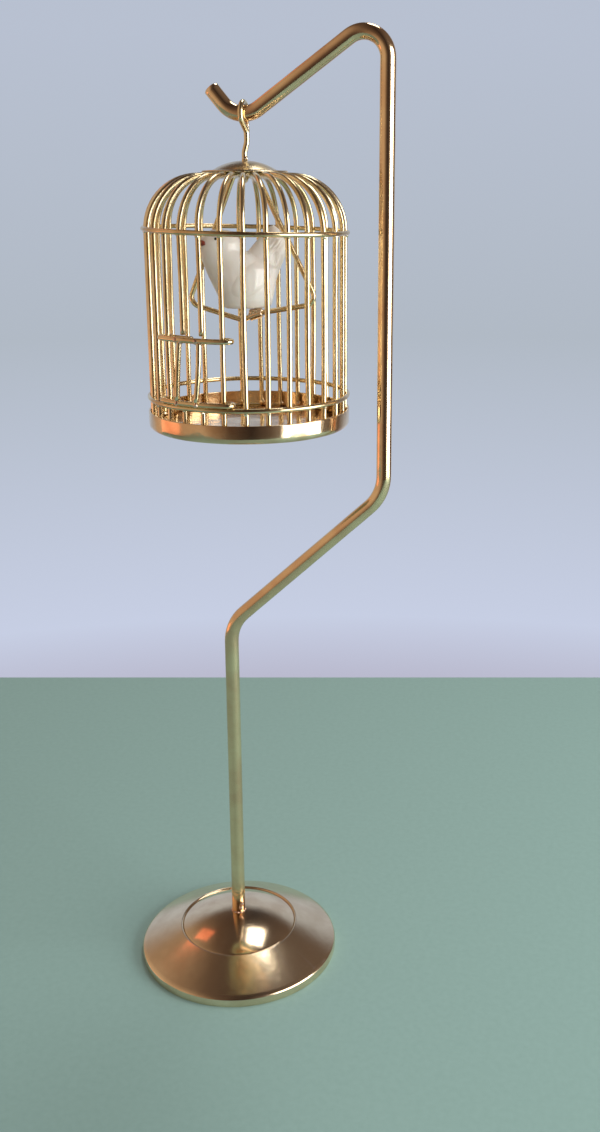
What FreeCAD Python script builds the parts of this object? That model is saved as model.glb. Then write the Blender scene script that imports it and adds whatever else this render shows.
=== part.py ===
"""A dolls' house bird cage that hangs on a bent-rod stand. Millimetres, +Z up.

The origin is the centre of the base's underside. The stand's bent rod lies in the XZ plane, with the
raised pole on +X. The cage's doorway faces about -Y.
"""

import FreeCAD, Part
import math
import os

from FreeCAD import Vector

# The stand: a turned base and one bent rod.
BASE_RADIUS = 17.25
BASE_EDGE = 1.85
BASE_CHAMFER = 0.15
BOSS_RADIUS = 9.9
BOSS_SEAT = 4.3
CONE_TOP = 4.73
BOSS_GROOVE = 0.15
BOSS_TOP = 7.05
ROD_RADIUS = 1.175
ROD_FOOT = 1.2
LOWER_KNEE = 61.7
UPPER_KNEE = 85.3
POLE_OFFSET = 25.54
KNEE_BEND = 7.0
TOP_BEND = 3.6
HOOK_LOW = 142.35
HOOK_BEND = 4.0
ARM_RISE = 35.0
TIP_RISE = 50.0
TIP_LENGTH = 3.0

# The cage hangs from the lowest point of the hook, on this vertical axis.
CAGE_X = 3.95
WIRE = 0.4
FIT = 0.08
BAR_COUNT = 29
BAR_CIRCLE = 15.0
BAR_FOOT = 96.6
BAR_TOP = 133.6
BAR_BEND = 7.9
BAR_END = 4.7
DOOR_CENTRE = -16.4
RING_WIRE = 0.375
RING_BED = 0.35
SHOULDER_TILT = 1.3
SHOULDER_HEIGHT = 125.64
LOWER_RING_HEIGHT = 100.6
TRAY_RIM = 98.47
TRAY_DEPTH = 2.82
TRAY_WALL = 0.33
TRAY_FLOOR = 0.4
TRAY_CORNER = 0.9
CAP_BRIM = 6.45
CAP_DOME = 4.9
CAP_RISE = 1.45
CAP_SHEET = 0.3

# The hanger: an eye round the hook, a shank through the cap and an eye that carries the swing.
EYE_NECK = 42.0
EYE_TAIL = 1.55
NECK_BEND = 0.9
SHANK_BEND = 1.6
SHANK_BOW = 0.35
BOW_HEIGHT = 138.6
SHANK_STRAIGHT = 136.9
SWING_PIVOT = 133.75

# The swing, given as the corners of its wire, measured from the cage's axis.
SWING_TOP = (-1.7, 1.8)
SWING_LEFT = (-9.5, 114.5)
SWING_LOW = (-0.9, 112.1)
SWING_SEAT = (2.3, 113.3)
SWING_RIGHT = (11.2, 114.8)
CLIP_RADIUS = 0.8
CLIP_LENGTH = 2.0
BIRD_BASE = 114.0
BIRD_TURN = 28.0

# The sliding door: two wire rails, looped round the guide bars, and two bars between them.
DOOR_TOP = 110.66
DOOR_BOTTOM = 101.42
GUIDE_GAP = 0.06
LOOP_SLACK = 1.9
TOP_TAIL = 18.5
BOTTOM_TAIL = 6.0
RIGHT_TAIL = 3.4
DOOR_LEAN = 2.9
DOOR_SHIFT = 0.3
CUT_CLEARANCE = 0.25

BAR_STEP = 360.0 / BAR_COUNT
CAGE_AXIS = Vector(CAGE_X, 0, 0)
UP = Vector(0, 0, 1)


def around(radius, degrees, height):
    """A point of the cage, by its angle from the front, which is -Y, towards +X."""
    turn = math.radians(degrees)
    return CAGE_AXIS + Vector(radius * math.sin(turn), -radius * math.cos(turn), height)


def rounded_path(points, bends):
    """Straight runs through the points, with a tangent arc of the given radius at each corner."""
    edges = []
    ends = [points[0]]
    for before, here, after, bend in zip(points, points[1:], points[2:], bends):
        back = (before - here).normalize()
        ahead = (after - here).normalize()
        half = back.getAngle(ahead) / 2
        enter = here + back * (bend / math.tan(half))
        leave = here + ahead * (bend / math.tan(half))
        middle = here + (back + ahead).normalize() * (bend / math.sin(half) - bend)
        ends += [enter, leave]
        edges.append(Part.Arc(enter, middle, leave).toShape())
    ends.append(points[-1])
    runs = [Part.LineSegment(a, b).toShape() for a, b in zip(ends[0::2], ends[1::2])]
    return Part.Wire(Part.__sortEdges__(edges + runs))


def wire_solid(path, radius=WIRE):
    """A round wire swept along a path."""
    first = path.OrderedEdges[0]
    forward = first.Orientation == "Forward"
    at = first.FirstParameter if forward else first.LastParameter
    section = Part.Wire(Part.Circle(first.valueAt(at), first.tangentAt(at), radius).toShape())
    return path.makePipeShell([section], True, True)


def turned(profile):
    """A closed (radius, height) outline turned about the vertical through the origin."""
    outline = Part.makePolygon([Vector(r, 0, z) for r, z in profile + profile[:1]])
    return Part.Face(outline).revolve(Vector(0, 0, 0), UP, 360)


def rod_along(start, end, radius):
    return Part.makeCylinder(radius, (end - start).Length, start, end - start)


def base_plate():
    """A flat-bottomed turned disc with a coned top and a blind hole for the rod."""
    groove = BOSS_RADIUS + BOSS_GROOVE
    disc = turned([
        (0, 0),
        (BASE_RADIUS - BASE_CHAMFER, 0),
        (BASE_RADIUS, BASE_CHAMFER),
        (BASE_RADIUS, BASE_EDGE - BASE_CHAMFER),
        (BASE_RADIUS - BASE_CHAMFER, BASE_EDGE),
        (groove, CONE_TOP),
        (groove, BOSS_SEAT),
        (0, BOSS_SEAT),
    ])
    return disc.cut(Part.makeCylinder(ROD_RADIUS, BOSS_SEAT, Vector(0, 0, ROD_FOOT)))


def base_boss():
    """The low dome at the middle of the base."""
    rise = BOSS_TOP - CONE_TOP
    ball = (BOSS_RADIUS ** 2 + rise ** 2) / (2 * rise)
    drum = Part.makeCylinder(BOSS_RADIUS, BOSS_TOP, Vector(0, 0, BOSS_SEAT))
    boss = drum.common(Part.makeSphere(ball, Vector(0, 0, BOSS_TOP - ball)))
    return boss.cut(Part.makeCylinder(ROD_RADIUS, BOSS_TOP))


def pole():
    """One rod: foot, two knees, a tight top bend, a sloping arm and the hook."""
    slope = math.radians(ARM_RISE)
    tip = math.radians(TIP_RISE)
    middle = (slope - tip) / 2
    centre = Vector(CAGE_X, 0, HOOK_LOW + HOOK_BEND)
    reach = HOOK_BEND / math.cos((slope + tip) / 2)
    hook = centre + Vector(math.sin(middle), 0, -math.cos(middle)) * reach
    top = Vector(POLE_OFFSET, 0, hook.z + (POLE_OFFSET - hook.x) * math.tan(slope))
    tip_start = centre + Vector(-math.sin(tip), 0, -math.cos(tip)) * HOOK_BEND
    tip_end = tip_start + Vector(-math.cos(tip), 0, math.sin(tip)) * TIP_LENGTH
    corners = [
        Vector(0, 0, ROD_FOOT),
        Vector(0, 0, LOWER_KNEE),
        Vector(POLE_OFFSET, 0, UPPER_KNEE),
        top,
        hook,
        tip_end,
    ]
    return wire_solid(rounded_path(corners, [KNEE_BEND, KNEE_BEND, TOP_BEND, HOOK_BEND]), ROD_RADIUS)


def hanger():
    """A wire with an eye closed round the hook and a smaller eye under the cap."""
    eye = ROD_RADIUS + FIT + WIRE
    neck = math.radians(EYE_NECK)
    low = HOOK_LOW - eye * math.tan((math.pi / 2 - neck) / 2)
    neck_height = HOOK_LOW - eye / math.sin(neck)
    tail = Vector(0, eye, low) + Vector(0, -math.sin(neck), -math.cos(neck)) * EYE_TAIL
    corners = [
        tail,
        Vector(0, eye, low),
        Vector(0, eye, HOOK_LOW + eye),
        Vector(0, -eye, HOOK_LOW + eye),
        Vector(0, -eye, low),
        Vector(0, 0, neck_height),
        Vector(SHANK_BOW, 0, BOW_HEIGHT),
        Vector(0, 0, SHANK_STRAIGHT),
        Vector(0, 0, SWING_PIVOT + FIT + 2 * WIRE),
    ]
    top_bend = 0.999 * eye
    bends = [eye, top_bend, top_bend, eye, NECK_BEND, SHANK_BEND, SHANK_BEND]
    shank = wire_solid(rounded_path([CAGE_AXIS + c for c in corners], bends))
    pivot = CAGE_AXIS + UP * SWING_PIVOT
    lower_eye = Part.makeTorus(FIT + 2 * WIRE, WIRE, pivot, Vector(1, 0, 0))
    return shank.fuse(lower_eye)


def crown_cap():
    """A pressed disc with a domed middle and a hole for the hanger."""
    brim_under = BAR_TOP + WIRE
    brim_over = brim_under + CAP_SHEET
    ball = (CAP_DOME ** 2 + CAP_RISE ** 2) / (2 * CAP_RISE)
    centre = Vector(0, 0, brim_over + CAP_RISE - ball)
    brim = Part.makeCylinder(CAP_BRIM, CAP_SHEET, UP * brim_under)
    above = Part.makeCylinder(CAP_DOME, CAP_RISE + 1, UP * brim_under)
    dome = Part.makeSphere(ball, centre).common(above)
    hollow = Part.makeSphere(ball - CAP_SHEET, centre)
    cap = brim.fuse(dome).cut(hollow)
    cap = cap.cut(Part.makeCylinder(WIRE + FIT, BAR_TOP, UP * brim_under))
    return cap.removeSplitter().translated(CAGE_AXIS)


def bar_angle(number):
    """The bars are numbered round the cage from the left side of the doorway."""
    return DOOR_CENTRE + (number - 1.5) * BAR_STEP


def bar(number, foot=BAR_FOOT):
    """A bar that stands in the tray and bends in under the cap."""
    corners = [around(BAR_CIRCLE, 0, foot), around(BAR_CIRCLE, 0, BAR_TOP), around(BAR_END, 0, BAR_TOP)]
    solid = wire_solid(rounded_path(corners, [BAR_BEND]))
    solid.rotate(CAGE_AXIS, UP, bar_angle(number))
    return solid


def stub(number):
    """The short foot that is left of a bar where the doorway is cut."""
    height = LOWER_RING_HEIGHT + RING_WIRE
    angle = bar_angle(number)
    return rod_along(around(BAR_CIRCLE, angle, BAR_FOOT), around(BAR_CIRCLE, angle, height), WIRE)


def ring(height, bars, tilt=0.0):
    """A hoop outside the bars, lower on the +X side, with a seat where each bar is soldered to it."""
    radius = BAR_CIRCLE + WIRE + RING_WIRE - RING_BED
    centre = CAGE_AXIS + UP * height
    hoop = Part.makeTorus(radius, RING_WIRE, centre, UP)
    hoop.rotate(centre, Vector(0, 1, 0), tilt)
    return hoop.cut(Part.makeCompound(bars))


def tray():
    """The round floor pan, with its wall outside the feet of the bars."""
    outside = BAR_CIRCLE + WIRE + TRAY_WALL
    bottom = TRAY_RIM - TRAY_DEPTH
    pan = Part.makeCylinder(outside, TRAY_DEPTH, UP * bottom)
    pan = pan.makeFillet(TRAY_CORNER, [pan.Edges[2]])
    hollow = Part.makeCylinder(outside - TRAY_WALL, TRAY_DEPTH, UP * (bottom + TRAY_FLOOR))
    hollow = hollow.makeFillet(TRAY_CORNER - TRAY_WALL, [hollow.Edges[2]])
    return pan.cut(hollow).translated(CAGE_AXIS)


def bent_arc(centre, radius, start, end):
    """Part of a wire hoop, from one angle to another, measured as in around()."""
    arc = Part.makeTorus(radius, WIRE, centre, UP, -180, 180, end - start)
    arc.rotate(centre, UP, start - 90)
    return arc


def door_rail(height, left_tail):
    """A wire outside the bars, whose ends loop round the two guide bars and return inside them."""
    loop = 2 * WIRE + GUIDE_GAP
    left = bar_angle(0) - LOOP_SLACK
    right = bar_angle(3) + LOOP_SLACK
    axis = CAGE_AXIS + UP * height
    front = bent_arc(axis, BAR_CIRCLE + loop, left, right)
    return front.multiFuse([
        bent_arc(around(BAR_CIRCLE, left, height), loop, left - 180, left),
        bent_arc(axis, BAR_CIRCLE - loop, left, left + left_tail),
        bent_arc(around(BAR_CIRCLE, right, height), loop, right, right + 180),
        bent_arc(axis, BAR_CIRCLE - loop, right - RIGHT_TAIL, right),
    ])


def door_bar(number):
    """A bar of the door, leaning a little, soldered between the two rails."""
    radius = BAR_CIRCLE + 2 * WIRE + GUIDE_GAP
    top = bar_angle(number) + DOOR_SHIFT
    foot = around(radius, top - DOOR_LEAN, DOOR_BOTTOM)
    wire = rod_along(foot, around(radius, top, DOOR_TOP), WIRE)
    for height in (DOOR_TOP, DOOR_BOTTOM):
        wire = wire.cut(Part.makeTorus(radius, WIRE, CAGE_AXIS + UP * height, UP))
    return wire


def swing_corners():
    flat = [(SWING_TOP[0], SWING_PIVOT), SWING_LEFT, SWING_LOW, SWING_SEAT, SWING_RIGHT]
    flat.append((SWING_TOP[1], SWING_PIVOT))
    return [CAGE_AXIS + Vector(x, 0, z) for x, z in flat]


def swing():
    """One closed wire: a short top in the hanger's eye, two legs and a bent perch."""
    corners = swing_corners()
    # The wire is made in two halves, which meet at the middle of its top and at its lowest corner.
    middle = (corners[0] + corners[-1]) * 0.5
    foot = (corners[2] + corners[3]) * 0.5
    left = wire_solid(rounded_path([middle] + corners[:3] + [foot], [0.6, 1.5, 0.6]))
    right = wire_solid(rounded_path([foot] + corners[3:] + [middle], [1.5, 1.5, 0.6]))
    return left.fuse(right).removeSplitter()


def ellipsoid(centre, radii):
    """A ball stretched to three radii."""
    stretch = FreeCAD.Matrix()
    stretch.scale(radii)
    return Part.makeSphere(1.0).transformGeometry(stretch).translated(centre)


def oval(centre, across, deep, lean):
    """An oval section for the tail, tipped about Y."""
    outline = Part.Ellipse(Vector(0, 0, 0), across, deep).toShape()
    outline.rotate(Vector(0, 0, 0), Vector(0, 1, 0), lean)
    return Part.Wire(outline.translated(centre))


def bird():
    """A plump bird, cast in one piece, with its head in front of the swing and its tail raised."""
    body = ellipsoid(Vector(-0.9, 0, 118.4), Vector(5.2, 3.1, 5.2))
    head = ellipsoid(Vector(-3.7, 0, 123.0), Vector(3.0, 2.5, 2.9))
    beak = Part.makeCone(0.9, 0.2, 1.5, Vector(-5.7, 0, 124.0), Vector(-1, 0, -0.2))
    tail = Part.makeLoft([
        oval(Vector(1.4, 0, 117.0), 3.0, 2.2, 12),
        oval(Vector(3.2, 0, 121.3), 2.5, 1.6, 22),
        oval(Vector(4.9, 0, 125.6), 1.8, 0.9, 24),
    ], True)
    below = Part.makeBox(20, 20, 6, Vector(-10, -10, BIRD_BASE - 6))
    figure = body.fuse([head, beak, tail]).cut(below)
    figure.rotate(Vector(0, 0, 0), UP, BIRD_TURN)
    return figure.translated(CAGE_AXIS)


def perch_clip(perch):
    """A small saddle round the perch wire that the bird stands on."""
    low = swing_corners()[2]
    seat = swing_corners()[3]
    along = (seat - low).normalize()
    start = seat - along * CLIP_LENGTH
    saddle = Part.makeCylinder(CLIP_RADIUS, CLIP_LENGTH, start, along)
    top = Vector(start.x, 0, 0) + Vector(0, -CLIP_RADIUS, start.z)
    pad = Part.makeBox(CLIP_LENGTH - 0.1, 2 * CLIP_RADIUS, BIRD_BASE - start.z, top)
    above = Part.makeBox(20, 20, 6, CAGE_AXIS + Vector(-10, -10, BIRD_BASE))
    return saddle.fuse(pad).cut([above, perch])


def build():
    parts = {"base_plate": base_plate(), "base_boss": base_boss(), "pole": pole(), "hanger": hanger()}
    parts["crown_cap"] = crown_cap()
    parts["tray"] = tray()
    doorway_head = DOOR_TOP + WIRE + CUT_CLEARANCE
    bars = {}
    for number in range(1, BAR_COUNT + 1):
        foot = doorway_head if number <= 2 else BAR_FOOT
        bars[f"cage_bar_{number:02d}"] = bar(number, foot)
    stubs = {"doorway_stub_left": stub(1), "doorway_stub_right": stub(2)}
    parts["shoulder_ring"] = ring(SHOULDER_HEIGHT, list(bars.values()), SHOULDER_TILT)
    parts["lower_ring"] = ring(LOWER_RING_HEIGHT, list(bars.values()) + list(stubs.values()))
    parts.update(bars)
    parts.update(stubs)
    parts["door_top_rail"] = door_rail(DOOR_TOP, TOP_TAIL)
    parts["door_bottom_rail"] = door_rail(DOOR_BOTTOM, BOTTOM_TAIL)
    parts["door_bar_left"] = door_bar(1)
    parts["door_bar_right"] = door_bar(2)
    parts["swing"] = swing()
    parts["perch_clip"] = perch_clip(parts["swing"])
    parts["bird"] = bird()
    return parts


os.makedirs("parts", exist_ok=True)
for name, shape in build().items():
    shape.exportStep(f"parts/{name}.step")
    box = shape.BoundBox
    print(f"{name:20s} solids {len(shape.Solids)} valid {shape.isValid()} volume {shape.Volume:9.2f}",
          f"z {box.ZMin:7.2f} to {box.ZMax:7.2f}")
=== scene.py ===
"""The looks of a dolls' house bird cage on its stand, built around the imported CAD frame."""

import math
import random

import bmesh
import bpy
from mathutils import Matrix, Vector, noise
from mathutils.bvhtree import BVHTree


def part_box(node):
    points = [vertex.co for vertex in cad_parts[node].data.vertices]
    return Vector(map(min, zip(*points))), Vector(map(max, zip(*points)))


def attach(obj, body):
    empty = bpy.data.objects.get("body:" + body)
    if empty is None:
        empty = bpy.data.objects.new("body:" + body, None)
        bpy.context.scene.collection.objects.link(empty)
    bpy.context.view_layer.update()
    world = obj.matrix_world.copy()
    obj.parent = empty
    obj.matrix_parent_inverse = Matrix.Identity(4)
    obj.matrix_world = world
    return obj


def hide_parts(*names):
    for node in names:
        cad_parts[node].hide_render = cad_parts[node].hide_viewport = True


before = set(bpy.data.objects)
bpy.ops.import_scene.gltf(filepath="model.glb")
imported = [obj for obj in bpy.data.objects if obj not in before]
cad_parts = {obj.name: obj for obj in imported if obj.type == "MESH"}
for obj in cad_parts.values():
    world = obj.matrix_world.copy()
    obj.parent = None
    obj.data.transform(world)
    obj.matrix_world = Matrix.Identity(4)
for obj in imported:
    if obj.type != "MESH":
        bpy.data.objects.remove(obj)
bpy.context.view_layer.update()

# Lengths below are in millimetres, and every mesh is scaled to metres as it is made.
MM = 0.001
UP = Vector((0, 0, 1))


def low(node):
    """The least corner of a node's box, in millimetres."""
    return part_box(node)[0] / MM


def high(node):
    """The greatest corner of a node's box, in millimetres."""
    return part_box(node)[1] / MM


# Places and sizes read from the frame.
AXIS = Vector(((low("tray").x + high("tray").x) / 2, 0, 0))
ROD = (high("pole").y - low("pole").y) / 2
POLE_X = high("pole").x - ROD
BASE_RADIUS = high("base_plate").x
BOSS_RADIUS = high("base_boss").x
BOSS_TOP = high("base_boss").z
WIRE = (high("door_top_rail").z - low("door_top_rail").z) / 2
RING_WIRE = (high("lower_ring").z - low("lower_ring").z) / 2
TRAY_RADIUS = high("tray").x - AXIS.x
TRAY_BOTTOM = low("tray").z
TRAY_RIM = high("tray").z
RING_RADIUS = high("lower_ring").x - AXIS.x - RING_WIRE
SHOULDER = (high("shoulder_ring").z + low("shoulder_ring").z) / 2
SHOULDER_DROP = (high("shoulder_ring").z - low("shoulder_ring").z) / 2 - RING_WIRE
LOWER_RING = high("lower_ring").z - RING_WIRE
CAP_RADIUS = high("crown_cap").x - AXIS.x
CAP_UNDER = low("crown_cap").z
CAP_TOP = high("crown_cap").z
BAR_FOOT = low("cage_bar_03").z
BAR_TOP = high("cage_bar_03").z - WIRE
DOOR_TOP = high("door_top_rail").z - WIRE
DOOR_BOTTOM = high("door_bottom_rail").z - WIRE
CUT_FOOT = low("cage_bar_01").z
EYE_FIT = 0.08
HOOK_LOW = (high("hanger").z - 2 * WIRE) - ROD - EYE_FIT

# The stand: where the rod bends, and the turned base's edge, bevel and lip.
KNEES = (61.7, 85.3)
KNEE_BEND = 7.0
TOP_BEND = 3.6
HOOK_BEND = 4.0
ARM_RISE = math.radians(35.0)
TIP_RISE = math.radians(50.0)
TIP_LENGTH = 3.0
ROD_FOOT = 4.5
BOSS_FIT = 0.05
EDGE_HEIGHT = 1.42
EDGE_BEVEL = 0.48
EDGE_TOP = 1.78
EDGE_SOFT = 0.28
LIP_WIDTH = 0.28
LIP_RISE = 0.17
LIP_SOFT = 0.12

# The hanger, the cap and the tray.
EYE_NECK = math.radians(42)
EYE_TAIL = 1.6
SHANK_TOP_X = 0.40
SHANK_BOW = (0.45, 0, 138.4)
SHANK_FOOT = (0.02, 0, 136.9)
CAP_SHEET = 0.3
CAP_DOME = 4.9
TRAY_WALL = 0.33
TRAY_FLOOR = 0.4

# The bars and the door, with angles in degrees from the front.
BAR_COUNT = 29
BAR_CIRCLE = 15.0
BAR_BEND = 7.9
BAR_END = 4.7
BAR_STEP = 360.0 / BAR_COUNT
DOOR_CENTRE = -16.4
GUIDE_GAP = 0.06
LOOP_SLACK = 1.9
DOOR_LEAN = 2.9
DOOR_SHIFT = 0.3
TOP_RAIL_TAIL = 18.5
BOTTOM_RAIL_TAIL = 6.0
RIGHT_RAIL_TAIL = 3.4

# The swing, its saddle and the bird.
SWING_PIVOT = 133.75
SWING = [(-1.7, 133.75), (-9.5, 114.5), (-0.9, 112.1), (2.3, 113.3), (11.2, 114.8), (1.8, 133.75)]
SWING_BENDS = [0.6, 1.5, 0.6, 1.5, 1.5, 0.6]
SLEEVE_LENGTH = 2.1
SLEEVE_RADIUS = 0.66
SADDLE_LUMPS = ((0.55, 0.62, 0.62), (1.15, 0.52, 0.58), (1.75, 0.42, 0.52))
BIRD_TURN = math.radians(28.0)
BIRD_VOXEL = 0.16
EYE_PLACE = Vector((-5.0, 0, 124.45))
EYE_SIZE = (0.22, 0.12, 0.24)


# ---------------------------------------------------------------- mesh helpers

def add_piece(name, mesh, body, material, stands_for=()):
    """Links a finished mesh as a piece of the object."""
    for polygon in mesh.polygons:
        polygon.use_smooth = True
    piece = bpy.data.objects.new(name, mesh)
    bpy.context.scene.collection.objects.link(piece)
    mesh.materials.append(material)
    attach(piece, body)
    if stands_for:
        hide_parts(*stands_for)


def outward_mesh(name, points, faces):
    """A mesh whose faces are turned outwards."""
    mesh = bpy.data.meshes.new(name)
    mesh.from_pydata(points, [], faces)
    work = bmesh.new()
    work.from_mesh(mesh)
    bmesh.ops.recalc_face_normals(work, faces=work.faces)
    work.to_mesh(mesh)
    work.free()
    return mesh


def mesh_of(name, points, faces):
    """A mesh in metres from points in millimetres, with its faces turned outwards."""
    return outward_mesh(name, [Vector(p) * MM for p in points], faces)


def joined(name, meshes):
    """Several meshes as one."""
    work = bmesh.new()
    for mesh in meshes:
        work.from_mesh(mesh)
        bpy.data.meshes.remove(mesh)
    whole = bpy.data.meshes.new(name)
    work.to_mesh(whole)
    work.free()
    return whole


def add_wire(node_name, points, body, material, seed, radius=None, closed=False):
    """A drawn wire that stands for one CAD node of the cage."""
    name = node_name + "_wire"
    wire = tube(name, points, radius, 18, closed=closed, uneven=0.03, seed=seed)
    add_piece(name, wire, body, material, [node_name])


def around(radius, degrees, height):
    """A point of the cage, by its angle from the front, which is -Y, towards +X."""
    turn = math.radians(degrees)
    return AXIS + Vector((radius * math.sin(turn), -radius * math.cos(turn), height))


def arc_points(start, middle, end, step):
    """Points along the arc through three points, without its last point."""
    a, b = middle - start, end - start
    normal = a.cross(b)
    centre = start + (normal.cross(a) * b.length_squared + b.cross(normal) * a.length_squared) / (
        2 * normal.length_squared)
    spoke = start - centre
    side = normal.normalized().cross(spoke)
    sweep = math.atan2((end - centre).dot(side), (end - centre).dot(spoke)) % math.tau
    count = max(4, math.ceil(sweep * spoke.length / step), math.ceil(math.degrees(sweep) / 6))
    turns = [sweep * i / count for i in range(count)]
    return [centre + spoke * math.cos(t) + side * math.sin(t) for t in turns]


def run_points(start, end, step):
    """Points along a straight run, without its last point."""
    count = max(1, math.ceil((end - start).length / step))
    return [start.lerp(end, i / count) for i in range(count)]


def bent(corners, bends, step=0.9, closed=False):
    """Points along straight runs with a tangent arc at each corner."""
    corners = [Vector(c) for c in corners]
    count = len(corners)
    stations = range(count) if closed else range(1, count - 1)
    arcs = []
    for station, bend in zip(stations, bends):
        here = corners[station]
        back = (corners[station - 1] - here).normalized()
        ahead = (corners[(station + 1) % count] - here).normalized()
        half = back.angle(ahead) / 2
        reach = bend / math.tan(half)
        middle = here + (back + ahead).normalized() * (bend / math.sin(half) - bend)
        arcs.append((here + back * reach, middle, here + ahead * reach))
    points = []
    at = arcs[-1][2] if closed else corners[0]
    for enter, middle, leave in arcs:
        points += run_points(at, enter, step)
        points += arc_points(enter, middle, leave, step)
        at = leave
    if not closed:
        points += run_points(at, corners[-1], step) + [corners[-1]]
    return points


def tube(name, points, radius=None, sides=18, closed=False, uneven=0.0, seed=0):
    """A round wire along the points, with softly dressed cut ends and slightly uneven drawing."""
    radius = radius or WIRE
    count = len(points)
    steps = range(count)
    tangents = []
    for i in steps:
        before = points[i - 1] if closed or i else points[0]
        after = points[(i + 1) % count] if closed or i < count - 1 else points[-1]
        tangents.append((after - before).normalized())
    across = tangents[0].orthogonal().normalized()
    rings = []
    for i in steps:
        across = (across - tangents[i] * across.dot(tangents[i])).normalized()
        other = tangents[i].cross(across)
        swell = 1 + uneven * noise.noise(points[i] * 0.35 + Vector((seed, 0, 0)))
        rings.append((points[i], across.copy(), other, radius * swell))
    if closed:
        twist = rings[0][1].angle(across) if rings[0][1].dot(across) < 1 else 0.0
        sign = 1 if across.cross(rings[0][1]).dot(tangents[0]) > 0 else -1
        for i, (point, u, v, r) in enumerate(rings):
            turn = sign * twist * i / count
            cosine, sine = math.cos(turn), math.sin(turn)
            rings[i] = (point, u * cosine + v * sine, v * cosine - u * sine, r)
    else:
        dressed = 0.14 * radius
        first, last = rings[0], rings[-1]
        nose = (first[0], first[1], first[2], radius - dressed)
        tail = (last[0], last[1], last[2], radius - dressed)
        rings[0] = (first[0] + tangents[0] * dressed, first[1], first[2], first[3])
        rings[-1] = (last[0] - tangents[-1] * dressed, last[1], last[2], last[3])
        rings = [nose] + rings + [tail]
    angles = [math.tau * k / sides for k in range(sides)]
    verts = [p + (u * math.cos(a) + v * math.sin(a)) * r for p, u, v, r in rings for a in angles]
    faces = []
    total = len(rings)
    for i in range(total if closed else total - 1):
        j = (i + 1) % total
        for k in range(sides):
            m = (k + 1) % sides
            faces.append((i * sides + k, i * sides + m, j * sides + m, j * sides + k))
    if not closed:
        faces.append(tuple(range(sides)))
        faces.append(tuple((total - 1) * sides + k for k in range(sides)))
    return mesh_of(name, verts, faces)


def lathe(name, profile, centre=Vector((0, 0, 0)), steps=160):
    """A (radius, height) outline turned about a vertical axis. Points at radius 0 close it."""
    verts = []
    rows = []
    for radius, height in profile:
        if radius < 1e-6:
            rows.append([len(verts)] * steps)
            verts.append(centre + UP * height)
            continue
        rows.append([len(verts) + k for k in range(steps)])
        for k in range(steps):
            turn = math.tau * k / steps
            verts.append(centre + Vector((radius * math.cos(turn), radius * math.sin(turn), height)))
    faces = []
    for a, b in zip(rows, rows[1:] + rows[:1]):
        for k in range(steps):
            m = (k + 1) % steps
            corner = []
            for index in (a[k], a[m], b[m], b[k]):
                if index not in corner:
                    corner.append(index)
            if len(corner) > 2:
                faces.append(tuple(corner))
    return mesh_of(name, verts, faces)


def soft_corner(corner, before, after, radius, count=6):
    """Points that round one corner of a lathe outline."""
    corner, before, after = Vector(corner), Vector(before), Vector(after)
    a = corner + (before - corner).normalized() * radius
    b = corner + (after - corner).normalized() * radius
    points = []
    for i in range(count + 1):
        t = i / count
        p = a * (1 - t) ** 2 + corner * 2 * t * (1 - t) + b * t ** 2
        points.append((p.x, p.y))
    return points


def rounded_outline(corners):
    """A closed lathe outline from (radius, height, softness) corners."""
    outline = []
    for i, (r, z, soft) in enumerate(corners):
        if soft <= 0:
            outline.append((r, z))
            continue
        before = corners[i - 1][:2]
        after = corners[(i + 1) % len(corners)][:2]
        outline += soft_corner((r, z), before, after, soft)
    return outline


def blob(centre, size, seed, stretch=(1, 1, 1), turn=0.0):
    """A small uneven bead of solder."""
    work = bmesh.new()
    bmesh.ops.create_icosphere(work, subdivisions=3, radius=1.0)
    for vert in work.verts:
        bump = 1 + 0.22 * noise.noise(vert.co * 1.3 + Vector((seed * 3.1, 0, 0)))
        vert.co = Vector(c * s for c, s in zip(vert.co * bump * size, stretch))
    spin = Matrix.Rotation(math.radians(turn), 4, "Z")
    placed = Matrix.Scale(MM, 4) @ Matrix.Translation(centre) @ spin
    bmesh.ops.transform(work, matrix=placed, verts=work.verts)
    mesh = bpy.data.meshes.new("blob")
    work.to_mesh(mesh)
    work.free()
    return mesh


# ---------------------------------------------------------------- materials

def node(tree, kind, **settings):
    """A shader node. Settings name either its properties or its inputs."""
    made = tree.nodes.new(kind)
    for key, value in settings.items():
        if key in made.inputs.keys():
            made.inputs[key].default_value = value
        else:
            setattr(made, key, value)
    return made


def start_material(name):
    """A new material with its tree, its shader and the place of each point on the piece."""
    material = bpy.data.materials.new(name)
    material.use_nodes = True
    tree = material.node_tree
    shader = tree.nodes["Principled BSDF"]
    place = node(tree, "ShaderNodeTexCoord").outputs["Object"]
    return material, tree, shader, place


def noise_at(tree, place, scale, detail=3.0, stretch=(1, 1, 1)):
    """Noise whose scale is in features per millimetre."""
    mapping = node(tree, "ShaderNodeMapping")
    mapping.inputs["Scale"].default_value = [s / MM for s in stretch]
    tree.links.new(place, mapping.inputs["Vector"])
    texture = node(tree, "ShaderNodeTexNoise", Scale=scale, Detail=detail)
    tree.links.new(mapping.outputs[0], texture.inputs["Vector"])
    return texture.outputs["Fac"]


def ramp(tree, value, stops):
    """A colour ramp from (position, colour) stops."""
    made = node(tree, "ShaderNodeValToRGB")
    elements = made.color_ramp.elements
    while len(elements) < len(stops):
        elements.new(0.5)
    for element, (position, colour) in zip(elements, stops):
        element.position = position
        element.color = (*colour, 1)
    tree.links.new(value, made.inputs["Fac"])
    return made.outputs["Color"]


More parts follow.
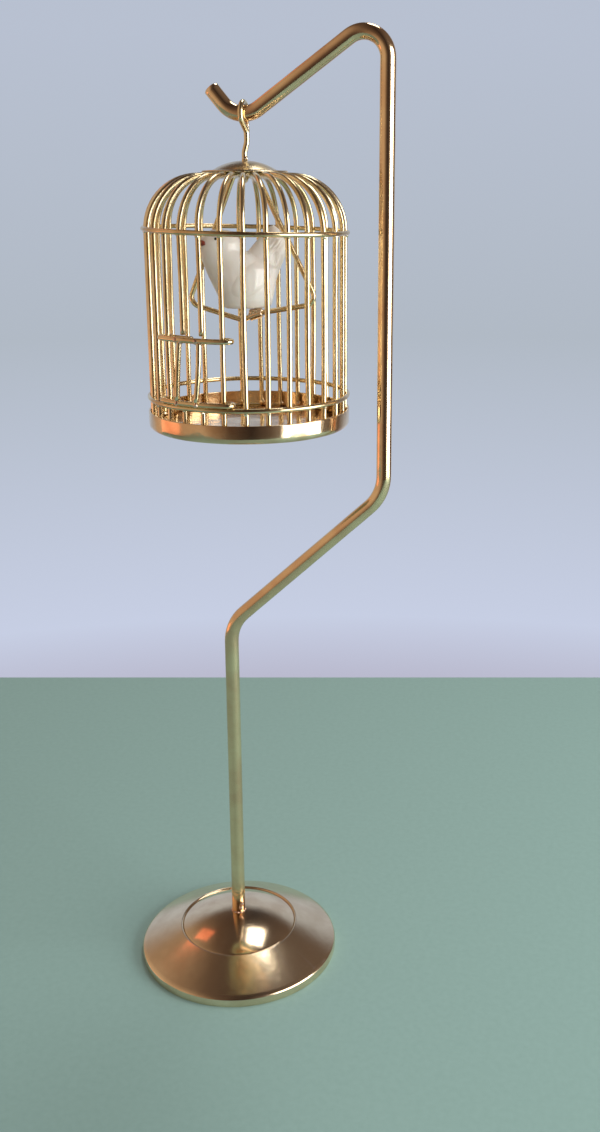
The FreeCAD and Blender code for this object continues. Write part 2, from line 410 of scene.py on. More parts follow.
def spread(tree, value, start, end, low_value, high_value):
    """Maps a value from one range to another, clamped at both ends."""
    made = node(tree, "ShaderNodeMapRange")
    made.inputs["From Min"].default_value = start
    made.inputs["From Max"].default_value = end
    made.inputs["To Min"].default_value = low_value
    made.inputs["To Max"].default_value = high_value
    tree.links.new(value, made.inputs["Value"])
    return made.outputs["Result"]


def blend_colour(tree, factor, a, b):
    """Colour a turning into colour b with the factor. Each may be a socket or a plain value."""
    mix = node(tree, "ShaderNodeMix", data_type="RGBA")
    sockets = [s for s in mix.inputs if s.name in ("Factor", "A", "B") and s.enabled]
    for socket, value in zip(sockets, (factor, a, b)):
        if isinstance(value, bpy.types.NodeSocket):
            tree.links.new(value, socket)
        elif isinstance(value, tuple):
            socket.default_value = (*value, 1)
        else:
            socket.default_value = value
    return next(s for s in mix.outputs if s.enabled)


def gold(name, bright, tarnish, rough, grain=(1, 1, 1), grain_depth=0.10, dents=0.2):
    """Gold plate: a bright skin with darker, redder patches, drawing marks, dents and rubbed edges."""
    material, tree, shader, place = start_material(name)
    shader.inputs["Metallic"].default_value = 1.0
    patches = noise_at(tree, place, 0.22, 4.0)
    specks = noise_at(tree, place, 2.6, 2.0)
    marks = noise_at(tree, place, 9.0, 3.0, grain)
    colour = ramp(tree, patches, [(0.36, tarnish), (0.62, bright)])
    colour = blend_colour(tree, spread(tree, specks, 0.60, 0.78, 0.0, 0.45), colour, tarnish)
    edges = node(tree, "ShaderNodeNewGeometry").outputs["Pointiness"]
    rubbed = spread(tree, edges, 0.52, 0.60, 0.0, 0.5)
    pale = tuple(0.5 * c + 0.5 for c in bright)
    colour = blend_colour(tree, rubbed, colour, pale)
    tree.links.new(colour, shader.inputs["Base Color"])
    roughness = spread(tree, patches, 0.3, 0.7, rough[1], rough[0])
    gloss = node(tree, "ShaderNodeMath", operation="MULTIPLY_ADD")
    tree.links.new(marks, gloss.inputs[0])
    gloss.inputs[1].default_value = 0.10
    tree.links.new(roughness, gloss.inputs[2])
    tree.links.new(gloss.outputs[0], shader.inputs["Roughness"])
    fine = node(tree, "ShaderNodeBump", Strength=grain_depth, Distance=0.01 * MM)
    tree.links.new(marks, fine.inputs["Height"])
    soft = node(tree, "ShaderNodeBump", Strength=dents, Distance=0.12 * MM)
    tree.links.new(noise_at(tree, place, 0.55, 2.0), soft.inputs["Height"])
    tree.links.new(fine.outputs[0], soft.inputs["Normal"])
    tree.links.new(soft.outputs[0], shader.inputs["Normal"])
    return material


def glaze():
    """Pearly white glaze with cream pooling, faint brush strokes and painted shade that browns its hollows.
    """
    material, tree, shader, place = start_material("bird_glaze")
    pooling = noise_at(tree, place, 0.28, 3.0)
    colour = ramp(tree, pooling, [(0.30, (0.94, 0.86, 0.79)), (0.58, (0.985, 0.945, 0.90))])
    strokes = noise_at(tree, place, 2.2, 3.0, (1, 1, 0.35))
    colour = blend_colour(tree, spread(tree, strokes, 0.5, 0.8, 0.0, 0.25), colour, (0.90, 0.86, 0.82))
    # Painted shade: the glaze is darkened towards brown wherever the surface is hollow.
    hollow_shade = node(tree, "ShaderNodeNewGeometry").outputs["Pointiness"]
    colour = blend_colour(tree, spread(tree, hollow_shade, 0.50, 0.44, 0.0, 0.7), colour, (0.66, 0.50, 0.38))
    tree.links.new(colour, shader.inputs["Base Color"])
    tree.links.new(spread(tree, strokes, 0.3, 0.7, 0.18, 0.28), shader.inputs["Roughness"])
    shader.inputs["Subsurface Weight"].default_value = 0.15
    shader.inputs["Subsurface Radius"].default_value = (0.0006, 0.0004, 0.0003)
    shader.inputs["Coat Weight"].default_value = 0.6
    shader.inputs["Coat Roughness"].default_value = 0.12
    relief = node(tree, "ShaderNodeBump", Strength=0.25, Distance=0.05 * MM)
    tree.links.new(strokes, relief.inputs["Height"])
    tree.links.new(relief.outputs[0], shader.inputs["Normal"])
    return material


def paint(name, colour, shade, rough):
    """Brushed enamel with a slightly uneven coat."""
    material, tree, shader, place = start_material(name)
    coat = noise_at(tree, place, 1.8, 3.0)
    tree.links.new(ramp(tree, coat, [(0.35, shade), (0.65, colour)]), shader.inputs["Base Color"])
    tree.links.new(spread(tree, coat, 0.3, 0.7, rough + 0.12, rough), shader.inputs["Roughness"])
    relief = node(tree, "ShaderNodeBump", Strength=0.3, Distance=0.03 * MM)
    tree.links.new(coat, relief.inputs["Height"])
    tree.links.new(relief.outputs[0], shader.inputs["Normal"])
    return material


WIRE_GOLD = gold("wire_gold", (0.97, 0.85, 0.56), (0.78, 0.60, 0.32), (0.12, 0.21), grain=(1, 1, 0.05))
RING_GOLD = gold("ring_gold", (0.92, 0.76, 0.46), (0.68, 0.48, 0.25), (0.10, 0.22))
ROD_GOLD = gold("rod_gold", (0.96, 0.75, 0.47), (0.84, 0.58, 0.36), (0.06, 0.13),
                grain=(1, 1, 0.04), grain_depth=0.06, dents=0.10)
BASE_GOLD = gold("base_gold", (0.90, 0.74, 0.52), (0.78, 0.62, 0.42), (0.10, 0.17),
                 grain_depth=0.25, dents=0.12)
BOSS_GOLD = gold("boss_gold", (0.92, 0.75, 0.52), (0.78, 0.60, 0.40), (0.05, 0.11),
                 grain_depth=0.06, dents=0.08)
TRAY_GOLD = gold("tray_gold", (0.92, 0.73, 0.48), (0.72, 0.50, 0.30), (0.06, 0.13),
                 grain=(1, 1, 0.2), dents=0.25)
CAP_GOLD = gold("cap_gold", (0.84, 0.72, 0.50), (0.60, 0.48, 0.30), (0.16, 0.28),
                grain_depth=0.25, dents=0.30)
SOLDER = gold("solder", (0.98, 0.86, 0.62), (0.84, 0.60, 0.42), (0.08, 0.18),
              grain_depth=0.2, dents=0.4)
COPPER_SOLDER = gold("copper_solder", (0.95, 0.66, 0.50), (0.74, 0.43, 0.30), (0.12, 0.24),
                     grain_depth=0.2, dents=0.4)
GLAZE = glaze()
BEAK_RED = paint("beak_red", (0.42, 0.07, 0.04), (0.20, 0.03, 0.02), 0.25)
EYE_BLACK = paint("eye_black", (0.012, 0.010, 0.010), (0.03, 0.02, 0.02), 0.12)


# ---------------------------------------------------------------- the stand

def base():
    """The turned foot: a satin coned plate and a bright boss that is set into it."""
    seat = low("base_boss").z
    cone = high("base_plate").z
    groove = BOSS_RADIUS + BOSS_FIT
    plate = lathe("base_plate_turned", rounded_outline([
        (0, 0, 0),
        (BASE_RADIUS, 0, 0.16),
        (BASE_RADIUS, EDGE_HEIGHT, EDGE_SOFT),
        (BASE_RADIUS - EDGE_BEVEL, EDGE_TOP, EDGE_SOFT),
        (groove + LIP_WIDTH, cone + LIP_RISE, LIP_SOFT),
        (groove, cone - 0.02, 0),
        (groove, seat, 0),
        (0, seat, 0),
    ]), steps=256)
    add_piece("base_plate_turned", plate, "stand", BASE_GOLD, ["base_plate"])
    rise = BOSS_TOP - cone + BOSS_FIT
    ball = (BOSS_RADIUS ** 2 + rise ** 2) / (2 * rise)
    dome = []
    edge = math.asin(BOSS_RADIUS / ball)
    for i in range(25):
        turn = edge * (1 - i / 24)
        dome.append((ball * math.sin(turn), BOSS_TOP + BOSS_FIT - ball * (1 - math.cos(turn))))
    lip = soft_corner(dome[0], (BOSS_RADIUS, seat), dome[1], 0.12)
    boss = lathe("base_boss_turned", [(0, seat), (BOSS_RADIUS, seat)] + lip + dome[1:], steps=256)
    add_piece("base_boss_turned", boss, "stand", BOSS_GOLD, ["base_boss"])


def pole():
    """The bent rod: foot, two knees, a tight top bend, the arm and the hook."""
    middle = (ARM_RISE - TIP_RISE) / 2
    centre = Vector((AXIS.x, 0, HOOK_LOW + HOOK_BEND))
    reach = HOOK_BEND / math.cos((ARM_RISE + TIP_RISE) / 2)
    hook = centre + Vector((math.sin(middle), 0, -math.cos(middle))) * reach
    top = Vector((POLE_X, 0, hook.z + (POLE_X - hook.x) * math.tan(ARM_RISE)))
    tip_start = centre + Vector((-math.sin(TIP_RISE), 0, -math.cos(TIP_RISE))) * HOOK_BEND
    tip_end = tip_start + Vector((-math.cos(TIP_RISE), 0, math.sin(TIP_RISE))) * TIP_LENGTH
    corners = [(0, 0, ROD_FOOT), (0, 0, KNEES[0]), (POLE_X, 0, KNEES[1]), top, hook, tip_end]
    points = bent(corners, [KNEE_BEND, KNEE_BEND, TOP_BEND, HOOK_BEND], 0.7)
    rod = tube("pole_rod", points, ROD, 36, uneven=0.012)
    add_piece("pole_rod", rod, "stand", ROD_GOLD, ["pole"])
    beads = []
    for i in range(12):
        turn = math.radians(i * 30 + 12)
        spot = Vector((math.sin(turn), -math.cos(turn), 0)) * (ROD - 0.12)
        beads.append(blob(spot + UP * (BOSS_TOP + 0.02), 0.27, i, (1, 1, 0.8)))
    beads.append(blob(Vector((0.78, -ROD + 0.02, BOSS_TOP + 1.05)), 0.36, 31, (1, 0.8, 1.2)))
    beads.append(blob(Vector((0.95, -ROD + 0.25, BOSS_TOP + 1.75)), 0.26, 37, (1, 0.8, 1.5)))
    add_piece("foot_solder", joined("foot_solder", beads), "stand", COPPER_SOLDER)


# ---------------------------------------------------------------- the hanger and the cap

def hanger():
    """The eye round the hook, its bowed shank and the small eye that carries the swing."""
    eye = ROD + EYE_FIT + WIRE
    side = HOOK_LOW - eye * math.tan((math.pi / 2 - EYE_NECK) / 2)
    joint = HOOK_LOW - eye / math.sin(EYE_NECK)
    tail = Vector((0.1, eye - EYE_TAIL * math.sin(EYE_NECK), side - EYE_TAIL * math.cos(EYE_NECK)))
    corners = [
        tail,
        (0, eye, side),
        (0, eye, HOOK_LOW + eye),
        (0, -eye, HOOK_LOW + eye),
        (0, -eye, side),
        (SHANK_TOP_X, 0, joint),
        SHANK_BOW,
        SHANK_FOOT,
        (0, 0, SWING_PIVOT + EYE_FIT + 2 * WIRE),
    ]
    bends = [eye, eye * 0.999, eye * 0.999, eye, 0.9, 2.4, 1.6]
    path = bent([AXIS + Vector(c) for c in corners], bends, 0.3)
    ring = EYE_FIT + 2 * WIRE
    loop = []
    for i in range(40):
        turn = math.tau * i / 40
        loop.append(AXIS + Vector((0, ring * math.cos(turn), SWING_PIVOT + ring * math.sin(turn))))
    wire = joined("hanger_wire", [
        tube("shank", path, 1.06 * WIRE, 20, uneven=0.03, seed=4),
        tube("eye", loop, WIRE, 20, closed=True),
    ])
    add_piece("hanger_wire", wire, "hanger", WIRE_GOLD, ["hanger"])
    beads = [
        blob(AXIS + Vector((0.42, 0.42, joint + 0.25)), 0.38, 3, (0.9, 1.0, 1.5)),
        blob(AXIS + Vector((0.38, 0.66, joint + 0.95)), 0.30, 5, (0.9, 1.0, 1.3)),
        blob(AXIS + Vector((0.10, -0.10, CAP_TOP + 0.30)), 0.46, 8, (1.0, 1.0, 0.9)),
    ]
    add_piece("hanger_solder", joined("hanger_solder", beads), "hanger", SOLDER)


def cap():
    """The pressed crown: a flat brim and a shallow dome with a hole for the hanger."""
    over = CAP_UNDER + CAP_SHEET
    rise = CAP_TOP - over
    hole = WIRE + EYE_FIT
    ball = (CAP_DOME ** 2 + rise ** 2) / (2 * rise)
    outside = []
    inside = []
    for i in range(21):
        radius = hole + (CAP_DOME - hole) * (1 - i / 20)
        height = over + rise - ball + math.sqrt(ball ** 2 - radius ** 2)
        outside.append((radius, height))
        if height - CAP_SHEET * 1.02 > CAP_UNDER:
            inside.append((radius, height - CAP_SHEET * 1.02))
    outline = [
        (inside[0][0] + 0.25, CAP_UNDER),
        (CAP_RADIUS - 0.1, CAP_UNDER),
        (CAP_RADIUS, CAP_UNDER + 0.1),
        (CAP_RADIUS, over - 0.1),
        (CAP_RADIUS - 0.1, over),
        (CAP_DOME + 0.5, over),
        (CAP_DOME + 0.15, over + 0.02),
    ]
    outline += outside + inside[::-1]
    crown = lathe("crown_cap_pressed", outline, AXIS, 192)
    for vert in crown.vertices:
        spot = vert.co / MM
        edge = max(0.0, (spot.xy - AXIS.xy).length - CAP_DOME) / (CAP_RADIUS - CAP_DOME)
        vert.co.z += 0.07 * edge * noise.noise(spot * 0.33) * MM
    add_piece("crown_cap_pressed", crown, "cage", CAP_GOLD, ["crown_cap"])


# ---------------------------------------------------------------- the cage

def bar_angle(number):
    """A bar's angle in degrees. The doorway is under bars 1 and 2."""
    return DOOR_CENTRE + (number - 1.5) * BAR_STEP


def bars():
    """The drawn bars, each a little out of true, with their feet in the tray."""
    for number in range(1, BAR_COUNT + 1):
        dice = random.Random(number)
        foot = CUT_FOOT if number <= 2 else BAR_FOOT
        angle = bar_angle(number)
        corners = [
            around(BAR_CIRCLE, angle, foot),
            around(BAR_CIRCLE, angle, BAR_TOP),
            around(BAR_END, angle, BAR_TOP),
        ]
        points = bent(corners, [BAR_BEND], 0.9)
        out = (around(1, angle, 0) - AXIS).normalized()
        along = UP.cross(out)
        bow_out = dice.uniform(-0.05, 0.05)
        bow_side = dice.uniform(-0.13, 0.13)
        twist_top = dice.uniform(-0.16, 0.16)
        for point in points:
            rise = (point.z - LOWER_RING) / (SHOULDER - LOWER_RING)
            belly = math.sin(math.pi * min(max(rise, 0.0), 1.0))
            crown = min(max((point.z - SHOULDER) / (BAR_TOP - SHOULDER), 0.0), 1.0)
            hump = math.sin(math.pi * crown) if crown < 1 else 0.0
            point += out * bow_out * belly + along * (bow_side * belly + twist_top * hump)
        add_wire(f"cage_bar_{number:02d}", points, "cage", WIRE_GOLD, number)
    for name, number in (("doorway_stub_left", 1), ("doorway_stub_right", 2)):
        angle = bar_angle(number)
        end = around(BAR_CIRCLE, angle, high(name).z)
        points = run_points(around(BAR_CIRCLE, angle, BAR_FOOT), end, 0.6) + [end]
        add_wire(name, points, "cage", WIRE_GOLD, number)


def hoops():
    """The two hoops outside the bars and the beads of solder that hold them."""
    hoop_facts = (("shoulder_ring", SHOULDER, SHOULDER_DROP, 2), ("lower_ring", LOWER_RING, 0.0, 9))
    for name, height, drop, seed in hoop_facts:
        points = []
        for i in range(232):
            turn = 360 * i / 232
            sine, cosine = math.sin(math.radians(turn)), math.cos(math.radians(turn))
            wander = 0.05 * noise.noise(Vector((cosine, sine, seed)) * 1.7)
            points.append(around(RING_RADIUS + wander * 0.5, turn, height + wander - drop * sine))
        add_wire(name, points, "cage", RING_GOLD, seed, RING_WIRE, closed=True)
        beads = []
        for number in range(1, BAR_COUNT + 1):
            dice = random.Random(100 * seed + number)
            angle = bar_angle(number)
            lower = dice.uniform(0.22, 0.42) + drop * math.sin(math.radians(angle))
            size = dice.uniform(0.28, 0.40)
            spot = around(BAR_CIRCLE + WIRE * 0.6, angle + dice.uniform(-0.4, 0.4), height - lower)
            stretch = (0.9, 0.8, dice.uniform(0.9, 1.5))
            beads.append(blob(spot, size, seed * 50 + number, stretch, angle))
        add_piece(name + "_solder", joined(name + "_solder", beads), "cage", SOLDER)


def tray():
    """The pressed floor pan, with a rolled rim and solder where the bars stand."""
    inner = TRAY_RADIUS - TRAY_WALL
    outline = rounded_outline([
        (0, TRAY_BOTTOM, 0),
        (TRAY_RADIUS - 0.02, TRAY_BOTTOM, 0.9),
        (TRAY_RADIUS, TRAY_RIM, 0.15),
        (inner, TRAY_RIM, 0.12),
        (inner, TRAY_BOTTOM + TRAY_FLOOR, 0.55),
        (0, TRAY_BOTTOM + TRAY_FLOOR, 0),
    ])
    pan = lathe("tray_pressed", outline, AXIS, 256)
    for vert in pan.vertices:
        spot = vert.co / MM
        radius = (spot.xy - AXIS.xy).length
        if radius < inner - 0.6 and spot.z > TRAY_BOTTOM + 0.2:
            continue
        vert.co.z += 0.04 * noise.noise(spot * 0.22) * MM * min(1.0, radius / TRAY_RADIUS)
    add_piece("tray_pressed", pan, "cage", TRAY_GOLD, ["tray"])
    beads = []
    for number in range(1, BAR_COUNT + 1):
        dice = random.Random(700 + number)
        angle = bar_angle(number) + dice.uniform(-1, 1)
        spot = around(BAR_CIRCLE - 0.05, angle, BAR_FOOT + dice.uniform(-0.1, 0.3))
        beads.append(blob(spot, dice.uniform(0.42, 0.56), 300 + number, (1, 1, 0.8)))
    add_piece("tray_solder", joined("tray_solder", beads), "cage", SOLDER)


def crown_solder():
    """The solder that joins the bars' ends under the cap."""
    beads = []
    for number in range(1, BAR_COUNT + 1):
        dice = random.Random(900 + number)
        angle = bar_angle(number)
        spot = around(BAR_END + dice.uniform(0.3, 1.0), angle + BAR_STEP / 2, BAR_TOP + 0.12)
        beads.append(blob(spot, dice.uniform(0.26, 0.36), 500 + number, (1.4, 1.0, 0.7), angle - 90))
    add_piece("crown_solder", joined("crown_solder", beads), "cage", SOLDER)


# ---------------------------------------------------------------- the door

def rail_arc(height, start, middle, end, step):
    """Part of a rail at one height, through three places that are each (radius, degrees)."""
    return arc_points(around(*start, height), around(*middle, height), around(*end, height), step)


def door():
    """Two rails whose ends loop round the guide bars, and two leaning bars soldered between."""
    loop = 2 * WIRE + GUIDE_GAP
    left = bar_angle(0) - LOOP_SLACK
    right = bar_angle(3) + LOOP_SLACK
    quarter = math.degrees(loop / BAR_CIRCLE)
    inner, outer = BAR_CIRCLE - loop, BAR_CIRCLE + loop
    rails = {
        "door_top_rail": (DOOR_TOP, TOP_RAIL_TAIL),
        "door_bottom_rail": (DOOR_BOTTOM, BOTTOM_RAIL_TAIL),
    }
    for name, (height, tail) in rails.items():
        tip = right - RIGHT_RAIL_TAIL
        points = rail_arc(height, (inner, left + tail), (inner, left + tail / 2), (inner, left), 0.5)
        points += rail_arc(height, (inner, left), (BAR_CIRCLE, left - quarter), (outer, left), 0.25)
        points += rail_arc(height, (outer, left), (outer, (left + right) / 2), (outer, right), 0.5)
        points += rail_arc(height, (outer, right), (BAR_CIRCLE, right + quarter), (inner, right), 0.25)
        points += rail_arc(height, (inner, right), (inner, right - RIGHT_RAIL_TAIL / 2), (inner, tip), 0.5)
        add_wire(name, points, "door", RING_GOLD, height)
    beads = []
    for name, number in (("door_bar_left", 1), ("door_bar_right", 2)):
        top = bar_angle(number) + DOOR_SHIFT
        start = around(outer, top - DOOR_LEAN, DOOR_BOTTOM + 0.3)
        end = around(outer, top, DOOR_TOP - 0.3)
        points = run_points(start, end, 0.8) + [end]
        bow = 0.12 if number == 2 else -0.08
        for i, point in enumerate(points):
            point.x += bow * math.sin(math.pi * i / (len(points) - 1))
        add_wire(name, points, "door", WIRE_GOLD, number)
        beads.append(blob(around(outer + 0.22, top - DOOR_LEAN + 0.4, DOOR_BOTTOM - 0.05), 0.38, 40 + number))
        beads.append(blob(around(outer + 0.12, top - 1.6, DOOR_TOP - 0.08), 0.42, 44 + number, (1.3, 0.9, 1)))
        beads.append(blob(around(outer + 0.05, top + 1.3, DOOR_TOP - 0.2), 0.36, 48 + number, (1.2, 0.9, 1)))
    add_piece("door_solder", joined("door_solder", beads), "door", COPPER_SOLDER)


# ---------------------------------------------------------------- the swing and the bird

def swing():
    """The closed swing wire and the small saddle on its perch."""
    corners = [AXIS + Vector((x, 0, z)) for x, z in SWING]
    points = bent(corners, SWING_BENDS, 0.6, closed=True)
    wire = tube("swing_wire", points, WIRE, 20, closed=True, uneven=0.03, seed=7)
    add_piece("swing_wire", wire, "swing", RING_GOLD, ["swing"])
    foot, seat = corners[2], corners[3]
    along = (seat - foot).normalized()
    sleeve = [seat - along * (SLEEVE_LENGTH * (1 - i / 14)) for i in range(15)]
    saddle = [tube("sleeve", sleeve, SLEEVE_RADIUS, 22, uneven=0.1, seed=3)]
    for i, (reach, lift, size) in enumerate(SADDLE_LUMPS):
        spot = seat - along * (SLEEVE_LENGTH - reach)
        saddle.append(blob(Vector((spot.x, 0, spot.z + lift)), size, 70 + i, (1.0, 1.1, 0.8)))
    add_piece("perch_saddle", joined("perch_saddle", saddle), "swing", SOLDER, ["perch_clip"])


def ball(centre, radii):
    """A stretched ball in the bird's own frame."""
    work = bmesh.new()
    bmesh.ops.create_icosphere(work, subdivisions=4, radius=1.0)
    stretch = Matrix.Diagonal((*radii, 1))
    bmesh.ops.transform(work, matrix=Matrix.Translation(centre) @ stretch, verts=work.verts)
    mesh = bpy.data.meshes.new("ball")
    work.to_mesh(mesh)
    work.free()
    return mesh


def limb(stations):
    """A run of oval sections, each (x, z, half length, half width, lean in degrees)."""
    sides = 28
    verts = []
    for x, z, across, deep, lean in stations:
        tip = math.radians(lean)
        for k in range(sides):
            turn = math.tau * k / sides
            a = across * math.cos(turn)
            verts.append((x + a * math.cos(tip), deep * math.sin(turn), z - a * math.sin(tip)))
    faces = []
    for i in range(len(stations) - 1):
        for k in range(sides):
            m = (k + 1) % sides
            faces.append((i * sides + k, i * sides + m, (i + 1) * sides + m, (i + 1) * sides + k))
    faces.append(tuple(range(sides)))
    faces.append(tuple((len(stations) - 1) * sides + k for k in range(sides)))
    return outward_mesh("limb", verts, faces)


def bird_lumps():
    """The body with its head, and the tail, as two lofts of oval sections in the bird's own frame."""
    body = limb([
        # from the seat up over the breast
        (0.0, 113.96, 3.35, 1.7, 0),
        (0.0, 114.3, 3.8, 2.3, 0),
        (-0.1, 115.2, 4.15, 2.75, 0),
        (-0.3, 116.7, 4.65, 3.1, 0),
        (-0.55, 118.35, 5.2, 3.2, 0),
        (-0.6, 120.0, 5.8, 3.1, 0),
        # leaning forward into the neck and the head
        (-2.0, 121.3, 4.9, 2.85, 0),
        (-3.75, 122.6, 3.4, 2.5, 0),
        (-3.95, 124.0, 3.2, 2.2, 0),
        (-4.05, 125.1, 2.5, 1.65, 0),
        (-4.1, 125.75, 1.3, 0.8, 0),
    ])
    tail = limb([
        (1.2, 119.0, 3.2, 2.4, 42),
        (2.2, 120.1, 3.1, 2.0, 42),
        (3.3, 121.8, 2.8, 1.55, 43),
        (4.4, 123.5, 2.45, 1.1, 44),
        (5.2, 124.75, 2.15, 0.75, 45),
        (5.6, 125.25, 1.7, 0.45, 45),
    ])
    return [body, tail]


def feather_relief(p):
    """How far the bird's side stands out at a point: a faint folded wing and the grooves of the tail."""
    if p.x > 2.5 and p.z > 121:
        across = (p.x - 4.4) * 0.72 - (p.z - 123.5) * 0.69
        return 0.05 * math.cos(across * math.tau / 1.2) * min(1.0, (p.z - 121) / 2.5)
    wing = Vector(((p.x - 0.4) * 0.8 + (p.z - 118.6) * 0.6, (p.z - 118.6) * 0.8 - (p.x - 0.4) * 0.6))
    reach = (wing.x / 3.9) ** 2 + (wing.y / 1.9) ** 2
    return 0.16 * max(0.0, 1 - reach ** 3)


def bird():
    """A plump glazed bird: its lofts are fused by a remesh, smoothed, and given feather relief."""
    lump = bpy.data.objects.new("bird_lump", joined("bird_lump", bird_lumps()))
    bpy.context.scene.collection.objects.link(lump)
    fuse = lump.modifiers.new("fuse", "REMESH")
    fuse.mode = "VOXEL"
    fuse.voxel_size = BIRD_VOXEL
    ease = lump.modifiers.new("ease", "SMOOTH")
    ease.factor = 0.5
    ease.iterations = 16
    finer = lump.modifiers.new("finer", "SUBSURF")
    finer.levels = finer.render_levels = 1
    depsgraph = bpy.context.evaluated_depsgraph_get()
    mesh = bpy.data.meshes.new_from_object(lump.evaluated_get(depsgraph))
    bpy.data.objects.remove(lump)
    for vert in mesh.vertices:
        vert.co.y += math.copysign(feather_relief(vert.co), vert.co.y) * min(1.0, abs(vert.co.y))
    skin = BVHTree.FromPolygons([v.co for v in mesh.vertices], [p.vertices for p in mesh.polygons])
    placed = Matrix.Scale(MM, 4) @ Matrix.Translation(AXIS) @ Matrix.Rotation(BIRD_TURN, 4, "Z")
    mesh.transform(placed)
    add_piece("bird_figure", mesh, "swing", GLAZE, ["bird"])
    beak = limb([
        (-6.55, 123.80, 0.50, 1.50, 84),
        (-7.00, 123.77, 0.54, 1.20, 82),
        (-7.40, 123.67, 0.44, 0.70, 78),
        (-7.75, 123.50, 0.18, 0.20, 70),
    ])
    beak.transform(placed)
    add_piece("bird_beak", beak, "swing", BEAK_RED)
    eyes = []
    for side in (-1, 1):
        spot = skin.ray_cast(EYE_PLACE + Vector((0, 6 * side, 0)), Vector((0, -side, 0)))[0]
        eyes.append(ball(spot, EYE_SIZE))
    eyes = joined("bird_eyes", eyes)
    eyes.transform(placed)
    add_piece("bird_eyes", eyes, "swing", EYE_BLACK)


# ---------------------------------------------------------------- floor, light and camera

# The camera, with its place in millimetres.
VIEW_TURN = math.radians(12.05)
VIEW_PITCH = math.radians(15.41)
VIEW_POINT = Vector((55.24, -172.94, 131.47))
VIEW_LENS = 36.69
VIEW_SENSOR = 36.0
VIEW_SHIFT = (-0.0341, -0.0511)

# The studio, in metres along the camera's own directions, with colours in linear light.
FORWARD = Vector((-math.sin(VIEW_TURN), math.cos(VIEW_TURN), 0))
RIGHT = Vector((math.cos(VIEW_TURN), math.sin(VIEW_TURN), 0))
TABLE_FAR = 0.118
TABLE_NEAR = -0.25
TABLE_SIDE = 0.34
PAPER = [(0.3, (0.345, 0.565, 0.535)), (0.7, (0.37, 0.595, 0.565))]
ROOM = [
    (0.10, (0.52, 0.37, 0.25)),
    (0.34, (0.11, 0.072, 0.052)),
    (0.55, (0.030, 0.020, 0.017)),
    (0.80, (0.14, 0.10, 0.08)),
]
# The wall's lowest stop is darker and more purple: painted shade at the foot of the wall, just above the
# table's edge.
WALL = [
    (0.06, (0.47, 0.46, 0.58)),
    (0.16, (0.57, 0.62, 0.77)),
    (0.55, (0.44, 0.49, 0.56)),
    (0.95, (0.48, 0.53, 0.635)),
]
FILL = (0.31, 0.27, 0.25)


def studio_point(right, forward, up):
    """A point in metres, measured from the base along the camera's own directions."""
    return RIGHT * right + FORWARD * forward + UP * up


def stage():
    """A plain pale table top that ends behind the object."""
    mesh = bpy.data.meshes.new("table_top")
    corners = [
        (-TABLE_SIDE, TABLE_NEAR),
        (TABLE_SIDE, TABLE_NEAR),
        (TABLE_SIDE, TABLE_FAR),
        (-TABLE_SIDE, TABLE_FAR),
    ]
    mesh.from_pydata([studio_point(x, y, 0) for x, y in corners], [], [(0, 1, 2, 3)])
    table_top = bpy.data.objects.new("table_top", mesh)
    bpy.context.scene.collection.objects.link(table_top)
    material, tree, shader, place = start_material("table_paper")
    colour = ramp(tree, noise_at(tree, place, 0.9, 4.0), PAPER)
    tree.links.new(colour, shader.inputs["Base Color"])
    shader.inputs["Roughness"].default_value = 0.8
    mesh.materials.append(material)


def softbox(name, place, aim, size, radiance, colour, roll=0.0):
    """A rectangular studio light that the camera doesn't see, by how bright it looks."""
    data = bpy.data.lights.new(name, "AREA")
    data.shape = "RECTANGLE"
    data.size, data.size_y = size
    data.energy = radiance * math.pi * size[0] * size[1]
    data.color = colour
    light = bpy.data.objects.new(name, data)
    light.location = studio_point(*place)
    spin = Matrix.Rotation(math.radians(roll), 3, "Z").to_quaternion()
    turn = (studio_point(*aim) - light.location).to_track_quat("-Z", "Y") @ spin
    light.rotation_euler = turn.to_euler()
    light.visible_camera = False
    bpy.context.scene.collection.objects.link(light)


def softboxes():
    """A tall window at the right, a small lamp overhead, and two warm cards at the left."""
    softbox("window", (0.41, -0.18, 0.10), (0, 0, 0.10), (0.40, 0.50), 4.8, (1.0, 0.99, 0.96))
    softbox("lamp", (0.093, 0.174, 0.468), (0.01, 0, 0.0), (0.11, 0.165), 6.0, (1.0, 0.97, 0.92), 27)
    softbox("high_card", (-0.243, 0.225, 0.388), (0, 0, 0.0), (0.09, 0.12), 0.7, (1.0, 0.22, 0.10))
    softbox("side_card", (-0.42, 0.05, -0.01), (0, 0, 0.09), (0.26, 0.13), 0.8, (1.0, 0.26, 0.12))


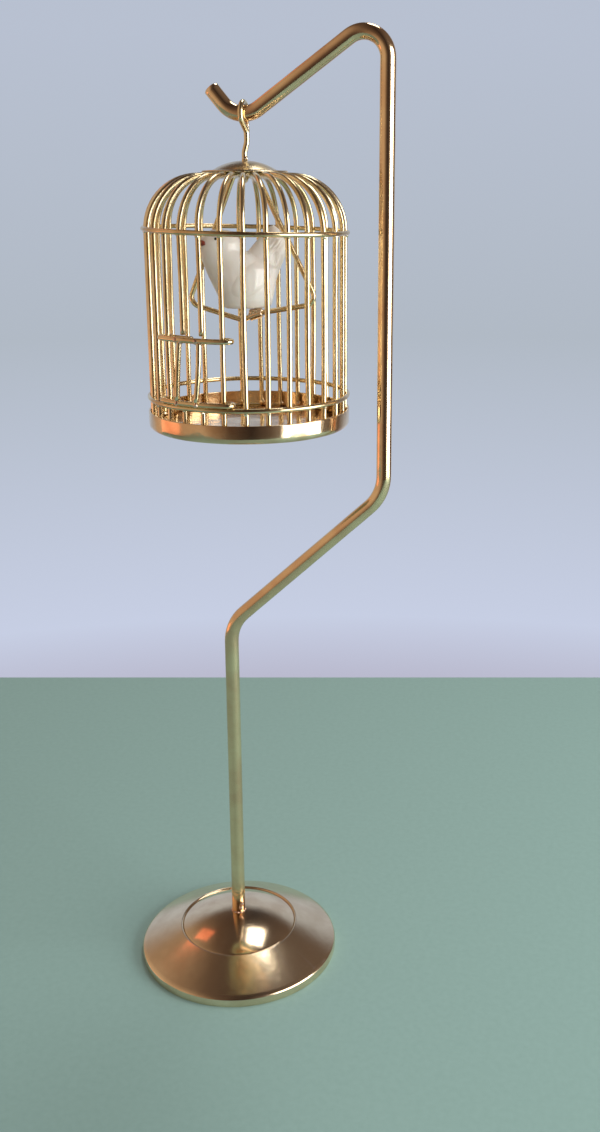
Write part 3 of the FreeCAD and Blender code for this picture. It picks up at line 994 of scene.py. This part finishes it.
def room():
    """A dim brown room in reflections, a pale wall behind with painted shade at its foot, and an even fill on
    matt surfaces.
    """
    world = bpy.data.worlds.new("studio")
    bpy.context.scene.world = world
    world.use_nodes = True
    tree = world.node_tree
    tree.nodes.clear()
    align = node(tree, "ShaderNodeMapping")
    align.inputs["Rotation"].default_value = (0, 0, -VIEW_TURN)
    tree.links.new(node(tree, "ShaderNodeTexCoord").outputs["Generated"], align.inputs["Vector"])
    split = node(tree, "ShaderNodeSeparateXYZ")
    tree.links.new(align.outputs[0], split.inputs[0])
    across, ahead, above = split.outputs
    brown = ramp(tree, spread(tree, across, -1.0, 1.0, 0.0, 1.0), ROOM)
    # The wall turns darker and more purple towards its foot: painted shade.
    wall = ramp(tree, spread(tree, above, -0.45, 0.15, 0.0, 1.0), WALL)
    ceiling = spread(tree, above, 0.46, 0.60, 1.0, 0.05)
    behind = spread(tree, ahead, 0.60, 0.88, 0.0, 1.0)
    share = node(tree, "ShaderNodeMath", operation="MULTIPLY")
    tree.links.new(ceiling, share.inputs[0])
    tree.links.new(behind, share.inputs[1])
    colour = blend_colour(tree, share.outputs[0], brown, wall)
    path = node(tree, "ShaderNodeLightPath")
    colour = blend_colour(tree, path.outputs["Is Diffuse Ray"], colour, FILL)
    colour = blend_colour(tree, path.outputs["Is Camera Ray"], colour, wall)
    back = node(tree, "ShaderNodeBackground", Strength=1.0)
    tree.links.new(colour, back.inputs["Color"])
    tree.links.new(back.outputs[0], node(tree, "ShaderNodeOutputWorld").inputs["Surface"])


def camera():
    """The camera looks from in front, a little to the right, 15.4 degrees down."""
    data = bpy.data.cameras.new("camera")
    data.sensor_width = VIEW_SENSOR
    data.lens = VIEW_LENS
    data.shift_x, data.shift_y = VIEW_SHIFT
    data.clip_start, data.clip_end = 0.005, 10.0
    eye = bpy.data.objects.new("camera", data)
    forward = FORWARD * math.cos(VIEW_PITCH) - UP * math.sin(VIEW_PITCH)
    eye.location = VIEW_POINT * MM
    eye.rotation_euler = forward.to_track_quat("-Z", "Y").to_euler()
    bpy.context.scene.collection.objects.link(eye)
    bpy.context.scene.camera = eye
    bpy.context.scene.view_settings.view_transform = "Standard"


camera()
stage()
softboxes()
room()
base()
pole()
hanger()
cap()
bars()
hoops()
tray()
crown_solder()
door()
swing()
bird()
